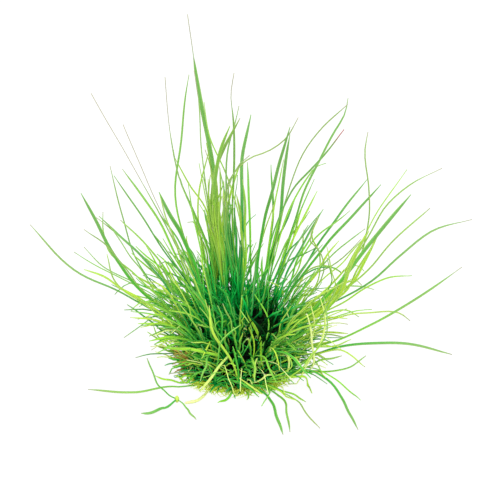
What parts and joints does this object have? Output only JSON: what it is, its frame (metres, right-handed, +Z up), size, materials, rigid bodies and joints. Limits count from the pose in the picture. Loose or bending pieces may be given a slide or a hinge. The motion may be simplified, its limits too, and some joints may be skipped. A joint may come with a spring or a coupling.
{
  "type": "lilaeopsis mauritiana plant clump",
  "caption": "Grass-like aquarium plant: a dense clump of narrow green leaves fanning out from a round, dark root ball, with one pale runner.",
  "frame": {"origin": "middle of the root ball's flat underside, on the surface that the plant stands on", "axes": "+Z up, out of the clump; -Y towards the side that the picture was taken from, where the runner is; +X to the right of that side"},
  "size_m": [0.1759, 0.1254, 0.1391],
  "materials": {
    "leaf_green": "living leaf, satin",
    "root_mat": "matted damp roots, matte",
    "runner_pale": "living stem, satin"
  },
  "bodies": {
    "root": {"root_ball": "root_mat", "runner": "runner_pale", "shoot_outer_01": "leaf_green", "shoot_outer_02": "leaf_green", "shoot_outer_03": "leaf_green", "shoot_outer_04": "leaf_green", "shoot_outer_05": "leaf_green", "shoot_outer_06": "leaf_green", "shoot_outer_07": "leaf_green", "shoot_outer_08": "leaf_green", "shoot_outer_09": "leaf_green", "shoot_outer_10": "leaf_green", "shoot_outer_11": "leaf_green", "shoot_outer_12": "leaf_green", "shoot_outer_13": "leaf_green", "shoot_outer_14": "leaf_green", "shoot_outer_15": "leaf_green", "shoot_outer_16": "leaf_green", "shoot_outer_17": "leaf_green", "shoot_outer_18": "leaf_green", "shoot_outer_19": "leaf_green", "shoot_outer_20": "leaf_green", "shoot_outer_21": "leaf_green", "shoot_outer_22": "leaf_green", "shoot_outer_23": "leaf_green", "shoot_outer_24": "leaf_green", "shoot_inner_01": "leaf_green", "shoot_inner_02": "leaf_green", "shoot_inner_03": "leaf_green", "shoot_inner_04": "leaf_green", "shoot_inner_05": "leaf_green", "shoot_inner_06": "leaf_green", "shoot_inner_07": "leaf_green", "shoot_inner_08": "leaf_green", "shoot_inner_09": "leaf_green", "shoot_inner_10": "leaf_green", "shoot_inner_11": "leaf_green", "shoot_inner_12": "leaf_green", "shoot_inner_13": "leaf_green", "shoot_inner_14": "leaf_green", "shoot_inner_15": "leaf_green", "shoot_inner_16": "leaf_green", "shoot_skirt_01": "leaf_green", "shoot_skirt_02": "leaf_green", "shoot_skirt_03": "leaf_green", "shoot_skirt_04": "leaf_green", "shoot_skirt_05": "leaf_green", "shoot_skirt_06": "leaf_green", "shoot_skirt_07": "leaf_green", "shoot_skirt_08": "leaf_green", "shoot_skirt_09": "leaf_green", "shoot_skirt_10": "leaf_green", "shoot_skirt_11": "leaf_green", "shoot_skirt_12": "leaf_green", "shoot_skirt_13": "leaf_green", "shoot_skirt_14": "leaf_green", "shoot_skirt_15": "leaf_green", "shoot_skirt_16": "leaf_green", "daughter_shoot": "leaf_green"}
  },
  "joints": []
}
